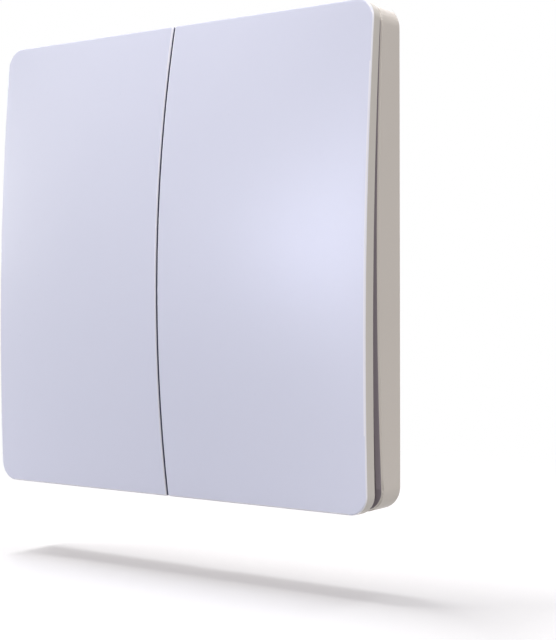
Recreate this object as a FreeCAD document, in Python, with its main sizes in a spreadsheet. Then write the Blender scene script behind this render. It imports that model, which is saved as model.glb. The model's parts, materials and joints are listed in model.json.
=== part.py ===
"""Two-gang wireless wall switch, in millimetres.

The origin is the middle of the adhesive pad's face that lies on the wall. +X is to the right and +Z up,
as someone facing the switch sees it, and the wall is at y = 0 with the switch in front of it at negative y.
A depth is a distance forward of the wall, so a point at a depth of d lies at y = -d.

From the wall outwards: an adhesive pad on a screw plate that snaps into the back of the housing, a coin cell
and a radio board on a circuit board, the housing's curved deck with a raised island over the board, and two
rockers. Each rocker hangs on two pins near its top edge, rests tilted against two hooks near its bottom
edge, and pushes the plunger of its own tactile switch.
"""

import FreeCAD
import Part
import Sketcher
import math
import os
from FreeCAD import Placement, Rotation, Vector
from types import SimpleNamespace

SIZES = {
    # outline of the switch, and how its face is curved
    "face_width": 86.0,
    "face_height": 86.0,
    "corner_radius": 4.0,
    "middle_crown": 4.05,
    "side_crown": 1.65,
    # adhesive pad
    "adhesive_width": 44.0,
    "adhesive_height": 62.0,
    "adhesive_thickness": 0.8,
    "adhesive_corner": 3.0,
    "adhesive_proud": 0.4,
    # screw plate
    "plate_thickness": 1.4,
    "plate_clearance": 0.2,
    "screw_pitch": 60.0,
    "slot_width": 4.5,
    "slot_length": 8.0,
    "slot_rim": 1.6,
    "slot_rim_height": 0.6,
    "snap_offset": 20.0,
    "snap_width": 7.0,
    "snap_thickness": 1.0,
    "snap_length": 2.8,
    "snap_barb": 0.8,
    "snap_barb_length": 1.1,
    # housing
    "deck_wall": 1.4,
    "deck_crown": 1.6,
    "deck_drop": 0.5,
    "side_wall": 1.8,
    "deck_chamfer": 0.3,
    "rear_chamfer": 0.12,
    "island_wall": 1.2,
    "island_corner": 4.0,
    "island_chamfer": 0.5,
    "frame_rib_x": 33.0,
    "frame_rib_z": 30.0,
    "frame_rib_thickness": 1.0,
    "frame_rib_gap": 0.6,
    "pry_width": 9.0,
    "pry_depth": 1.1,
    # circuit board and what it carries
    "board_width": 48.0,
    "board_height": 46.0,
    "board_thickness": 1.0,
    "board_corner": 2.5,
    "board_clearance": 0.8,
    "board_headroom": 1.0,
    "board_screw_x": 20.5,
    "board_screw_z": 19.5,
    "screw_radius": 0.8,
    "screw_head_radius": 1.5,
    "screw_head_height": 0.8,
    "screw_grip": 1.5,
    "screw_clearance": 0.2,
    "thread_clearance": 0.02,
    "boss_side": 4.0,
    "cell_radius": 10.0,
    "cell_thickness": 3.2,
    "cell_lip": 0.9,
    "cell_cap_height": 0.8,
    "cell_height": -9.0,
    "cell_clearance": 0.3,
    "contact_space": 0.4,
    "contact_sheet": 0.15,
    "contact_width": 4.0,
    "contact_foot": 2.4,
    "holder_clearance": 0.25,
    "holder_wall": 1.3,
    "holder_depth": 2.9,
    "holder_opening": 11.0,
    "holder_notch": 5.0,
    "radio_width": 17.0,
    "radio_height": 15.0,
    "radio_thickness": 0.8,
    "radio_middle": 14.0,
    "radio_notch_pitch": 1.8,
    "radio_notch_width": 0.8,
    "radio_notch_depth": 0.4,
    "shield_width": 13.0,
    "shield_height": 9.0,
    "shield_depth": 1.8,
    "shield_sheet": 0.2,
    "shield_drop": 1.5,
    "radio_chip_side": 4.5,
    "radio_chip_thickness": 0.9,
    "capacitor_length": 1.6,
    "capacitor_width": 0.8,
    "capacitor_thickness": 0.6,
    "capacitor_pitch": 3.2,
    "led_middle": 17.0,
    "led_width": 1.6,
    "led_height": 0.8,
    "led_base": 0.3,
    "led_lens": 0.3,
    "led_lens_inset": 0.2,
    "led_window_radius": 1.1,
    # tactile switches
    "tact_offset": 18.0,
    "tact_middle": 9.0,
    "tact_side": 6.2,
    "tact_base_height": 1.6,
    "tact_cover_sheet": 0.2,
    "tact_cover_skirt": 0.9,
    "tact_floor": 0.35,
    "tact_well_radius": 2.45,
    "tact_lead_width": 0.7,
    "tact_lead_sheet": 0.2,
    "tact_lead_reach": 1.1,
    "tact_lead_offset": 2.25,
    "tact_window_gap": 0.5,
    "plunger_radius": 1.6,
    "plunger_clearance": 0.1,
    "plunger_flange": 2.2,
    "plunger_flange_height": 0.35,
    "plunger_proud": 0.9,
    "dome_radius": 2.2,
    "dome_rim": 0.25,
    "dome_crown_radius": 0.8,
    "dome_sheet": 0.1,
    # rockers
    "split_gap": 0.55,
    "split_corner": 0.6,
    "rocker_gap": 0.45,
    "island_clearance": 0.6,
    "rocker_wall": 1.4,
    "seat_crown": 1.45,
    "skirt_top": 1.95,
    "skirt_bottom": 2.75,
    "rest_tilt": 1.2,
    "press_tilt": 1.0,
    "rocker_rib_inner": 14.0,
    "rocker_rib_outer": 28.0,
    "rocker_rib_thickness": 0.9,
    "rocker_rib_depth": 0.7,
    "rocker_rib_top": 33.0,
    # rocker hinges
    "hinge_drop": 5.0,
    "hinge_rise": 0.6,
    "hinge_pin_radius": 0.9,
    "hinge_pin_spare": 0.2,
    "hinge_clearance": 0.05,
    "ear_inner": 7.0,
    "ear_outer": 36.0,
    "ear_thickness": 1.6,
    "ear_half_height": 2.2,
    "ear_rise": 0.6,
    "lug_thickness": 1.6,
    "lug_gap": 0.4,
    "lug_radius": 1.5,
    # rocker hooks, dampers and actuating posts
    "hook_inner": 12.0,
    "hook_outer": 32.0,
    "hook_rise": 7.1,
    "hook_width": 5.0,
    "hook_leg": 1.2,
    "hook_barb": 0.9,
    "hook_barb_depth": 0.8,
    "hook_clearance": 0.08,
    "hook_slot_gap": 0.35,
    "hook_flex_gap": 1.3,
    "damper_inner": 14.0,
    "damper_outer": 30.0,
    "damper_rise": 13.0,
    "damper_side": 4.6,
    "damper_seat": 0.4,
    "damper_proud": 0.5,
    "damper_clearance": 0.1,
    "post_arm": 1.5,
    "post_web": 0.9,
    "touch_gap": 0.05,
}


class Size:
    """A length that carries its number and its spreadsheet formula together."""

    def __init__(self, value, formula=None):
        self.value = float(value)
        self.formula = formula or repr(float(value))

    @staticmethod
    def of(other):
        return other if isinstance(other, Size) else Size(other)

    def join(self, sign, other, value):
        return Size(value, f"({self.formula} {sign} {other.formula})")

    def __add__(self, other):
        other = Size.of(other)
        return self.join("+", other, self.value + other.value)

    def __sub__(self, other):
        other = Size.of(other)
        return self.join("-", other, self.value - other.value)

    def __mul__(self, other):
        other = Size.of(other)
        return self.join("*", other, self.value * other.value)

    def __truediv__(self, other):
        other = Size.of(other)
        return self.join("/", other, self.value / other.value)

    def __radd__(self, other):
        return Size.of(other) + self

    def __rsub__(self, other):
        return Size.of(other) - self

    def __rmul__(self, other):
        return Size.of(other) * self

    def __neg__(self):
        return Size(-self.value, f"(-1 * {self.formula})")

    def sine(self):
        """The sine of an angle in degrees."""
        return Size(math.sin(math.radians(self.value)), f"sin({self.formula})")


def bind(thing, name, size):
    """Ties a property of a document object to a size."""
    thing.setExpression(name, Size.of(size).formula)


def make_sheet(doc):
    """The spreadsheet of driving sizes, and the same sizes by name."""
    sheet = doc.addObject("Spreadsheet::Sheet", "Dims")
    for row, (name, value) in enumerate(SIZES.items(), start=1):
        sheet.set(f"A{row}", name)
        sheet.set(f"B{row}", str(value))
        sheet.setAlias(f"B{row}", name)
    doc.recompute()
    return SimpleNamespace(**{name: Size(sheet.get(name), f"Dims.{name}") for name in SIZES})


doc = FreeCAD.newDocument("wall_switch")
d = make_sheet(doc)
parts = {}

# Depths of the layers, from the wall outwards.
rear = d.adhesive_proud
plate_front = rear + d.plate_thickness
cell_rear = plate_front + d.cell_clearance
cell_front = cell_rear + d.cell_thickness
board_rear = cell_front + d.contact_space
board_front = board_rear + d.board_thickness
island_under = board_front + d.board_headroom
island_front = island_under + d.island_wall
deck_edge = board_front - d.deck_drop
tact_top = board_front + d.tact_base_height + d.tact_cover_sheet
plunger_top = tact_top + d.plunger_proud
rocker_seat = deck_edge + d.rocker_gap

half_width = d.face_width / 2
half_height = d.face_height / 2
hinge_depth = deck_edge + d.hinge_rise
hinge_height = half_height - d.hinge_drop
tact_height = d.tact_middle

WALL = SimpleNamespace(depth=Size(0), height=Size(0))
HINGE = SimpleNamespace(depth=hinge_depth, height=hinge_height)


def new_body(label, datum=WALL):
    """A body whose own origin lies at a datum: the wall, or the rockers' hinge line."""
    body = doc.addObject("PartDesign::Body", label)
    body.Label = label
    if datum is HINGE:
        bind(body, "Placement.Base.y", -HINGE.depth)
        bind(body, "Placement.Base.z", HINGE.height)
        bind(body, "Placement.Rotation.Axis.x", 1)
        bind(body, "Placement.Rotation.Axis.z", 0)
        bind(body, "Placement.Rotation.Angle", -d.rest_tilt)
    return SimpleNamespace(body=body, datum=datum, label=label, count=0)


def keep(made):
    """Lists a body or another object as a finished sub-part."""
    thing = getattr(made, "body", made)
    if hasattr(made, "body"):
        thing.Tip.Refine = True
    parts[thing.Label] = thing
    return thing


def new_name(made, kind):
    made.count += 1
    return f"{made.label}_{kind}_{made.count}"


def new_sketch(made, role, offset):
    """A sketch on one of the body's own planes, moved along the plane's normal."""
    sketch = made.body.newObject("Sketcher::SketchObject", new_name(made, "sketch"))
    plane = next(f for f in made.body.Origin.OriginFeatures if f.Role == role)
    sketch.AttachmentSupport = (plane, [""])
    sketch.MapMode = "FlatFace"
    offset = Size.of(offset)
    sketch.AttachmentOffset = Placement(Vector(0, 0, offset.value), Rotation())
    bind(sketch, "AttachmentOffset.Base.z", offset)
    return sketch


def front_sketch(made, depth):
    """A sketch seen from the front, in x and height, at a depth. Its normal points away from the wall."""
    sketch = new_sketch(made, "XZ_Plane", depth - made.datum.depth)
    return sketch, lambda x, height: (Size.of(x), height - made.datum.height)


def side_sketch(made, x):
    """A sketch seen from the right, in depth and height, at an x. Its normal points to the right."""
    sketch = new_sketch(made, "YZ_Plane", x)
    return sketch, lambda depth, height: (made.datum.depth - depth, height - made.datum.height)


def constrain(sketch, kind, places, size):
    """Adds one dimension to a sketch and ties it to its size."""
    size = Size.of(size)
    number = sketch.addConstraint(Sketcher.Constraint(kind, *places, size.value))
    name = f"{kind}_{number}"
    sketch.renameConstraint(number, name)
    sketch.setExpression(f"Constraints.{name}", size.formula)


def arc_between(start, end, radius):
    """The short arc between two points, drawn anticlockwise. It bulges to the right of the way from start to
    end, or to the left if the radius is negative."""
    chord = end - start
    half = chord.Length / 2
    rise = abs(radius) - math.sqrt(max(radius * radius - half * half, 0.0))
    outward = Vector(chord.y, -chord.x, 0).normalize()
    middle = (start + end) * 0.5 + outward * math.copysign(rise, radius)
    return Part.Arc(start, middle, end) if radius > 0 else Part.Arc(end, middle, start)


def draw_outline(sketch, corners):
    """A closed outline through corners given as (across, up), or (across, up, radius) where an arc leads
    to the corner from the one before it."""
    sizes = [tuple(Size.of(value) for value in corner) for corner in corners]
    points = [Vector(corner[0].value, corner[1].value, 0) for corner in sizes]
    edges = []
    for i, corner in enumerate(sizes):
        start, end = points[i - 1], points[i]
        if len(corner) == 2:
            edges.append((sketch.addGeometry(Part.LineSegment(start, end)), 1, 2))
            continue
        number = sketch.addGeometry(arc_between(start, end, corner[2].value))
        edges.append((number, 1, 2) if corner[2].value > 0 else (number, 2, 1))
    for i, (number, _, last) in enumerate(edges):
        following, first, _ = edges[(i + 1) % len(edges)]
        sketch.addConstraint(Sketcher.Constraint("Coincident", number, last, following, first))
    for (number, _, last), corner in zip(edges, sizes):
        constrain(sketch, "DistanceX", (-1, 1, number, last), corner[0])
        constrain(sketch, "DistanceY", (-1, 1, number, last), corner[1])
        if len(corner) == 3:
            constrain(sketch, "Radius", (number,), corner[2] if corner[2].value > 0 else -corner[2])


def draw_circle(sketch, middle, radius):
    across, up, radius = (Size.of(value) for value in (*middle, radius))
    circle = Part.Circle(Vector(across.value, up.value, 0), Vector(0, 0, 1), radius.value)
    number = sketch.addGeometry(circle)
    constrain(sketch, "DistanceX", (-1, 1, number, 3), across)
    constrain(sketch, "DistanceY", (-1, 1, number, 3), up)
    constrain(sketch, "Radius", (number,), radius)


def rounded_rectangle(left, right, bottom, top, radius, left_radius=None):
    """Corners of a rectangle with rounded corners, drawn anticlockwise."""
    other = radius if left_radius is None else left_radius
    return [
        (left + other, bottom),
        (right - radius, bottom),
        (right, bottom + radius, radius),
        (right, top - radius),
        (right - radius, top, radius),
        (left + other, top),
        (left, top - other, other),
        (left, bottom + other),
        (left + other, bottom, other),
    ][1:]


def rectangle(left, right, bottom, top):
    return [(left, bottom), (right, bottom), (right, top), (left, top)]


def square(x, height, side):
    """Corners of a square about its middle."""
    return rectangle(x - side / 2, x + side / 2, height - side / 2, height + side / 2)


def extrude(made, kind, sketch, length, symmetric, forward):
    feature = made.body.newObject(f"PartDesign::{kind}", new_name(made, kind.lower()))
    feature.Profile = sketch
    bind(feature, "Length", length)
    feature.SideType = "Symmetric" if symmetric else "One side"
    feature.Reversed = forward if kind == "Pocket" else not forward
    feature.Refine = False
    made.body.Tip = feature
    return feature


def pad(made, sketch, length, symmetric=False, forward=True):
    return extrude(made, "Pad", sketch, length, symmetric, forward)


def pocket(made, sketch, length, symmetric=False, forward=False):
    return extrude(made, "Pocket", sketch, length, symmetric, forward)


def draw_front(made, depth, outlines):
    """A front sketch of outlines given in x and height."""
    sketch, at = front_sketch(made, depth)
    for corners in outlines:
        draw_outline(sketch, [(*at(c[0], c[1]), *c[2:]) for c in corners])
    return sketch


def draw_side(made, x, corners):
    """A side sketch of an outline given in depth and height. Depth runs backwards along the sketch, so arcs
    turn over."""
    sketch, at = side_sketch(made, x)
    draw_outline(sketch, [(*at(c[0], c[1]), *(-Size.of(r) for r in c[2:])) for c in corners])
    return sketch


def pad_front(made, depth_from, depth_to, *outlines):
    """Blocks of front outlines between two depths."""
    return pad(made, draw_front(made, depth_from, outlines), depth_to - depth_from)


def cut_front(made, depth_from, depth_to, *outlines):
    """Holes of front outlines between two depths."""
    sketch = draw_front(made, depth_from, outlines)
    return pocket(made, sketch, depth_to - depth_from, forward=True)


def draw_discs(made, depth, middles, radius):
    sketch, at = front_sketch(made, depth)
    for x, height in middles:
        draw_circle(sketch, at(x, height), radius)
    return sketch


def pad_discs(made, depth_from, depth_to, middles, radius):
    return pad(made, draw_discs(made, depth_from, middles, radius), depth_to - depth_from)


def cut_discs(made, depth_from, depth_to, middles, radius):
    sketch = draw_discs(made, depth_from, middles, radius)
    return pocket(made, sketch, depth_to - depth_from, forward=True)


def pad_side(made, x, width, corners):
    """A block of a side outline that spans a width about an x."""
    return pad(made, draw_side(made, x, corners), width, symmetric=True)


def cut_side(made, x, width, corners):
    return pocket(made, draw_side(made, x, corners), width, symmetric=True)


def round_edges(made, kind, size, wanted):
    """A fillet or chamfer on the edges of the body's tip that a test picks."""
    base = made.body.Tip
    doc.recompute()
    picked = [f"Edge{i}" for i, edge in enumerate(base.Shape.Edges, start=1) if wanted(edge)]
    feature = made.body.newObject(f"PartDesign::{kind}", new_name(made, kind.lower()))
    feature.Base = (base, picked)
    bind(feature, "Radius" if kind == "Fillet" else "Size", size)
    made.body.Tip = feature
    return feature


def edge_middle(edge):
    return edge.valueAt((edge.FirstParameter + edge.LastParameter) / 2)


# How far a cut runs on past what it cuts.
OVERRUN = 3.0


def arc_radius(chord, rise):
    """Radius of the arc that rises by so much over a chord."""
    return (chord * chord / 4 + rise * rise) / (rise * 2)


def crown_arc(bottom, top, crown, reach):
    """Ends and radius of a crowned side profile that is carried on, or cut short, at a height of reach. It
    passes through one depth at the bottom edge and another at the top edge."""
    stretch = reach / half_height
    rise = crown * stretch * stretch
    middle = (bottom + top) / 2 + crown - rise
    lean = (top - bottom) / 2 * stretch
    chord_squared = reach * reach * 4 + lean * lean * 4
    radius = (chord_squared / 4 + rise * rise) / (rise * 2)
    return middle - lean, middle + lean, radius


def crowned_outline(bottom, top, crown, reach, plane):
    """Side outline between a crowned surface and a flat plane at a depth."""
    low, high, radius = crown_arc(bottom, top, crown, reach)
    return [(low, -reach), (high, reach, radius), (plane, reach), (plane, -reach)]


def at_height(bottom, top, crown, height):
    """Depth of a crowned surface at a height."""
    share = height / half_height
    return (bottom + top) / 2 + (top - bottom) / 2 * share + crown * (1 - share * share)


def make_adhesive_pad():
    """Double-sided foam sheet between the screw plate and the wall."""
    made = new_body("adhesive_pad")
    across, up = d.adhesive_width / 2, d.adhesive_height / 2
    outline = rounded_rectangle(-across, across, -up, up, d.adhesive_corner)
    pad_front(made, Size(0), d.adhesive_thickness, outline)
    keep(made)


def slot_outline(x):
    """A screw slot that runs along x."""
    radius = d.slot_width / 2
    half = d.slot_length / 2 - radius
    return [
        (x + half, -radius),
        (x + half + radius, 0, radius),
        (x + half, radius, radius),
        (x - half, radius),
        (x - half - radius, 0, radius),
        (x - half, -radius, radius),
    ]


cavity_half_width = half_width - d.side_wall
cavity_half_height = half_height - d.side_wall
cavity_corner = d.corner_radius - d.side_wall
plate_half_width = cavity_half_width - d.plate_clearance
plate_half_height = cavity_half_height - d.plate_clearance
snap_tip = plate_front + d.snap_length
snap_barb_rear = snap_tip - d.snap_barb_length


def make_wall_plate():
    """Moulded plate that is screwed or stuck to the wall. Four tongues snap into the housing's walls."""
    made = new_body("wall_plate")
    across, up = plate_half_width, plate_half_height
    pad_front(made, rear, plate_front, rounded_rectangle(-across, across, -up, up, cavity_corner))
    margin = d.plate_clearance
    recess_across, recess_up = d.adhesive_width / 2 + margin, d.adhesive_height / 2 + margin
    corner = d.adhesive_corner + margin
    recess = rounded_rectangle(-recess_across, recess_across, -recess_up, recess_up, corner)
    cut_front(made, rear, d.adhesive_thickness, recess)
    for side in (-1, 1):
        x = d.screw_pitch / 2 * side
        middle = plate_front - d.plate_thickness / 2
        across, up = d.slot_length / 2 + d.slot_rim, d.slot_width / 2 + d.slot_rim
        pad_front(made, middle, plate_front + d.slot_rim_height, rectangle(x - across, x + across, -up, up))
        cut_front(made, rear, plate_front + d.slot_rim_height, slot_outline(x))
    for side in (-1, 1):
        outer = plate_half_height * side
        inner = (plate_half_height - d.snap_thickness) * side
        tip = (plate_half_height + d.snap_barb) * side
        slope = d.snap_barb_length / 3
        tongue = [
            (plate_front - d.plate_thickness / 2, inner),
            (plate_front - d.plate_thickness / 2, outer),
            (snap_barb_rear, outer),
            (snap_barb_rear + slope, tip),
            (snap_tip - slope, tip),
            (snap_tip, outer),
            (snap_tip, inner),
        ]
        for x in (-d.snap_offset, d.snap_offset):
            pad_side(made, x, d.snap_width, tongue)
    keep(made)


board_half_width = d.board_width / 2
board_half_height = d.board_height / 2
island_half_width = board_half_width + d.board_clearance + d.island_wall
island_half_height = board_half_height + d.board_clearance + d.island_wall
board_screws = [(d.board_screw_x * i, d.board_screw_z * j) for i in (-1, 1) for j in (-1, 1)]
tact_places = [(-d.tact_offset, tact_height), (d.tact_offset, tact_height)]

ear_front = hinge_depth + d.ear_rise
bore_radius = d.hinge_pin_radius + d.hinge_clearance
lug_pitch = d.ear_thickness / 2 + d.lug_gap + d.lug_thickness / 2
lug_inner = d.ear_inner + lug_pitch
lug_outer = d.ear_outer - lug_pitch
hook_foot = -half_height + d.hook_rise
damper_height = -half_height + d.damper_rise
damper_floor = at_height(deck_edge, deck_edge, d.deck_crown, damper_height) - d.damper_seat
damper_top = damper_floor + d.damper_seat + d.damper_proud
frame_rib_rear = snap_tip - d.frame_rib_gap


def cavity_ceiling(height):
    """Depth of the deck's back at a height."""
    share = height / cavity_half_height
    return deck_edge - d.deck_wall + d.deck_crown * (1 - share * share)


def mirrored(*places):
    """Places to the left and to the right of the middle."""
    return [place * side for place in places for side in (-1, 1)]


def make_housing():
    """Moulded tray with a curved deck, open at the back, that carries every other piece. A flat island over
    the circuit board rises from the deck."""
    made = new_body("housing")
    across, up = half_width, half_height
    blank_front = deck_edge + d.deck_crown + OVERRUN
    outline = rounded_rectangle(-across, across, -up, up, d.corner_radius)
    pad_front(made, rear, blank_front, outline)
    under = deck_edge - d.deck_wall
    reach = cavity_half_height
    radius = arc_radius(reach * 2, d.deck_crown)
    cavity = [
        (rear - OVERRUN, -reach),
        (under, -reach),
        (under, reach, radius),
        (rear - OVERRUN, reach),
    ]
    cut_side(made, Size(0), cavity_half_width * 2, cavity)
    corner_x = cavity_half_width.value
    round_edges(made, "Fillet", cavity_corner, lambda edge: runs_in_depth(edge, corner_x))

    # A frame of ribs behind the deck. It runs on into the blank, which the deck's curve then cuts.
    half = d.frame_rib_thickness / 2
    across, up = d.frame_rib_x, d.frame_rib_z
    outside = rectangle(-across - half, across + half, -up - half, up + half)
    inside = rectangle(-across + half, across - half, -up + half, up - half)
    pad_front(made, frame_rib_rear, blank_front, outside, inside)

    front = blank_front + OVERRUN
    over = half_height + OVERRUN
    deck = crowned_outline(deck_edge, deck_edge, d.deck_crown, over, front)
    cut_side(made, Size(0), d.face_width + OVERRUN, deck)
    round_edges(made, "Chamfer", d.deck_chamfer, is_deck_rim)
    round_edges(made, "Chamfer", d.rear_chamfer, is_outer_rear)

    across, up = island_half_width, island_half_height
    island = rounded_rectangle(-across, across, -up, up, d.island_corner)
    pad_front(made, deck_edge, island_front, island)
    top = -island_front.value
    round_edges(made, "Chamfer", d.island_chamfer, lambda edge: lies_at(edge, top))
    across, up = across - d.island_wall, up - d.island_wall
    inner_corner = d.island_corner - d.island_wall
    well = rounded_rectangle(-across, across, -up, up, inner_corner)
    cut_front(made, plate_front, island_under, well)

    bosses = [square(x, height, d.boss_side) for x, height in board_screws]
    pad_front(made, board_front, island_front - d.island_wall / 2, *bosses)
    pilot = d.screw_radius + d.thread_clearance
    pilot_end = board_front + d.screw_grip + d.screw_clearance
    cut_discs(made, board_front, pilot_end, board_screws, pilot)
    windows = [square(x, height, d.tact_side + d.tact_window_gap * 2) for x, height in tact_places]
    cut_front(made, island_under, island_front, *windows)
    cut_discs(made, island_under, island_front, [(Size(0), d.led_middle)], d.led_window_radius)

    # Hinge ears, each with a bore that is open to the front, so that a pin can be pressed in.
    for x in mirrored(d.ear_inner, d.ear_outer):
        low, high = hinge_height - d.ear_half_height, hinge_height + d.ear_half_height
        slope = d.ear_rise / 2
        ear = [
            (deck_edge - d.deck_wall / 2, low),
            (ear_front - slope, low),
            (ear_front, low + slope),
            (ear_front, high - slope),
            (ear_front - slope, high),
            (deck_edge - d.deck_wall / 2, high),
        ]
        pad_side(made, x, d.ear_thickness, ear)
    for x in mirrored(d.ear_inner, d.ear_outer):
        sketch, at = side_sketch(made, x)
        draw_circle(sketch, at(hinge_depth, hinge_height), bore_radius)
        length = d.ear_thickness + (d.lug_gap + d.hinge_pin_spare) * 2
        pocket(made, sketch, length, symmetric=True)
    across = d.lug_thickness / 2 + d.lug_gap
    low, high = hinge_height - d.lug_radius - d.lug_gap, hinge_height + d.lug_radius + d.lug_gap
    holes = [rectangle(x - across, x + across, low, high) for x in mirrored(lug_inner, lug_outer)]
    across = d.hook_width / 2 + d.hook_slot_gap
    low, high = hook_foot - d.hook_slot_gap, hook_foot + d.hook_leg + d.hook_flex_gap
    slots = [rectangle(x - across, x + across, low, high) for x in mirrored(d.hook_inner, d.hook_outer)]
    far_front = island_front
    cut_front(made, plate_front, far_front, *holes, *slots)

    # Pockets that the dampers are pressed into.
    pocket_side = d.damper_side + d.damper_clearance * 2
    pockets = [square(x, damper_height, pocket_side) for x in mirrored(d.damper_inner, d.damper_outer)]
    cut_front(made, damper_floor, far_front, *pockets)

    # Recesses that take the plate's barbs, and a notch for a screwdriver to part the two.
    for side in (-1, 1):
        start = (cavity_half_height - d.plate_clearance) * side
        end = (plate_half_height + d.snap_barb + d.plate_clearance) * side
        recess = [
            (snap_barb_rear - d.plate_clearance, start),
            (snap_barb_rear - d.plate_clearance, end),
            (snap_tip + d.plate_clearance, end),
            (snap_tip + d.plate_clearance, start),
        ]
        for x in (-d.snap_offset, d.snap_offset):
            cut_side(made, x, d.snap_width + d.plate_clearance * 2, recess)
    across = d.pry_width / 2
    notch = rectangle(-across, across, -half_height - OVERRUN, -cavity_half_height + d.plate_clearance)
    cut_front(made, rear, rear + d.pry_depth, notch)
    keep(made)


def lies_at(edge, y):
    """Whether an edge lies in a plane parallel to the wall."""
    return all(abs(v.Y - y) < 1e-4 for v in edge.Vertexes) and abs(edge_middle(edge).y - y) < 1e-4


def is_outer(edge):
    """Whether an edge is on the outline of the switch."""
    middle = edge_middle(edge)
    return max(abs(middle.x), abs(middle.z)) > cavity_half_width.value + 0.01


def is_deck_rim(edge):
    """Whether an edge is where the deck meets the outside of the walls."""
    return is_outer(edge) and all(v.Y < -deck_edge.value + 0.01 for v in edge.Vertexes)


def is_outer_rear(edge):
    return lies_at(edge, -rear.value) and is_outer(edge)


def runs_in_depth(edge, corner_x):
    """Whether an edge runs straight away from the wall along a corner of the cavity."""
    ends = edge.Vertexes
    straight = len(ends) == 2 and abs(ends[0].X - ends[1].X) < 1e-4 and abs(ends[0].Z - ends[1].Z) < 1e-4
    return straight and abs(abs(edge_middle(edge).x) - corner_x) < 1e-3


# Depths of the rocker's face at its bottom and top edges, before the rocker is tilted to its rest.
face_bottom = rocker_seat + d.skirt_bottom
face_top = rocker_seat + d.skirt_top
blank_depth = rocker_seat + d.skirt_bottom + d.middle_crown + OVERRUN
face_lean = d.rest_tilt.sine()


def face_crown(x):
    """How far the face's middle stands forward of its ends at an x. It falls from the split to the sides."""
    share = x / half_width
    return d.middle_crown - (d.middle_crown - d.side_crown) * share * share


def cut_loft(made, sketches, straight=False):
    """A loft through side sketches that is taken away, curved or straight between them."""
    feature = made.body.newObject("PartDesign::SubtractiveLoft", new_name(made, "loft"))
    feature.Profile = sketches[0]
    feature.Sections = sketches[1:]
    feature.Ruled = straight
    feature.Refine = False
    made.body.Tip = feature
    return feature


def face_section(made, x, inset, reach, plane):
    """Side sketch at an x between the face, set back by an inset, and a flat plane."""
    bottom, top = face_bottom - inset, face_top - inset
    return draw_side(made, x, crowned_outline(bottom, top, face_crown(x), reach, plane))


def cross_outline(x, height, arm, half):
    """Corners of a cross with arms of one length and half thickness."""
    return [
        (x - arm, height - half),
        (x - half, height - half),
        (x - half, height - arm),
        (x + half, height - arm),
        (x + half, height - half),
        (x + arm, height - half),
        (x + arm, height + half),
        (x + half, height + half),
        (x + half, height + arm),
        (x - half, height + arm),
        (x - half, height + half),
        (x - arm, height + half),
    ]


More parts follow.
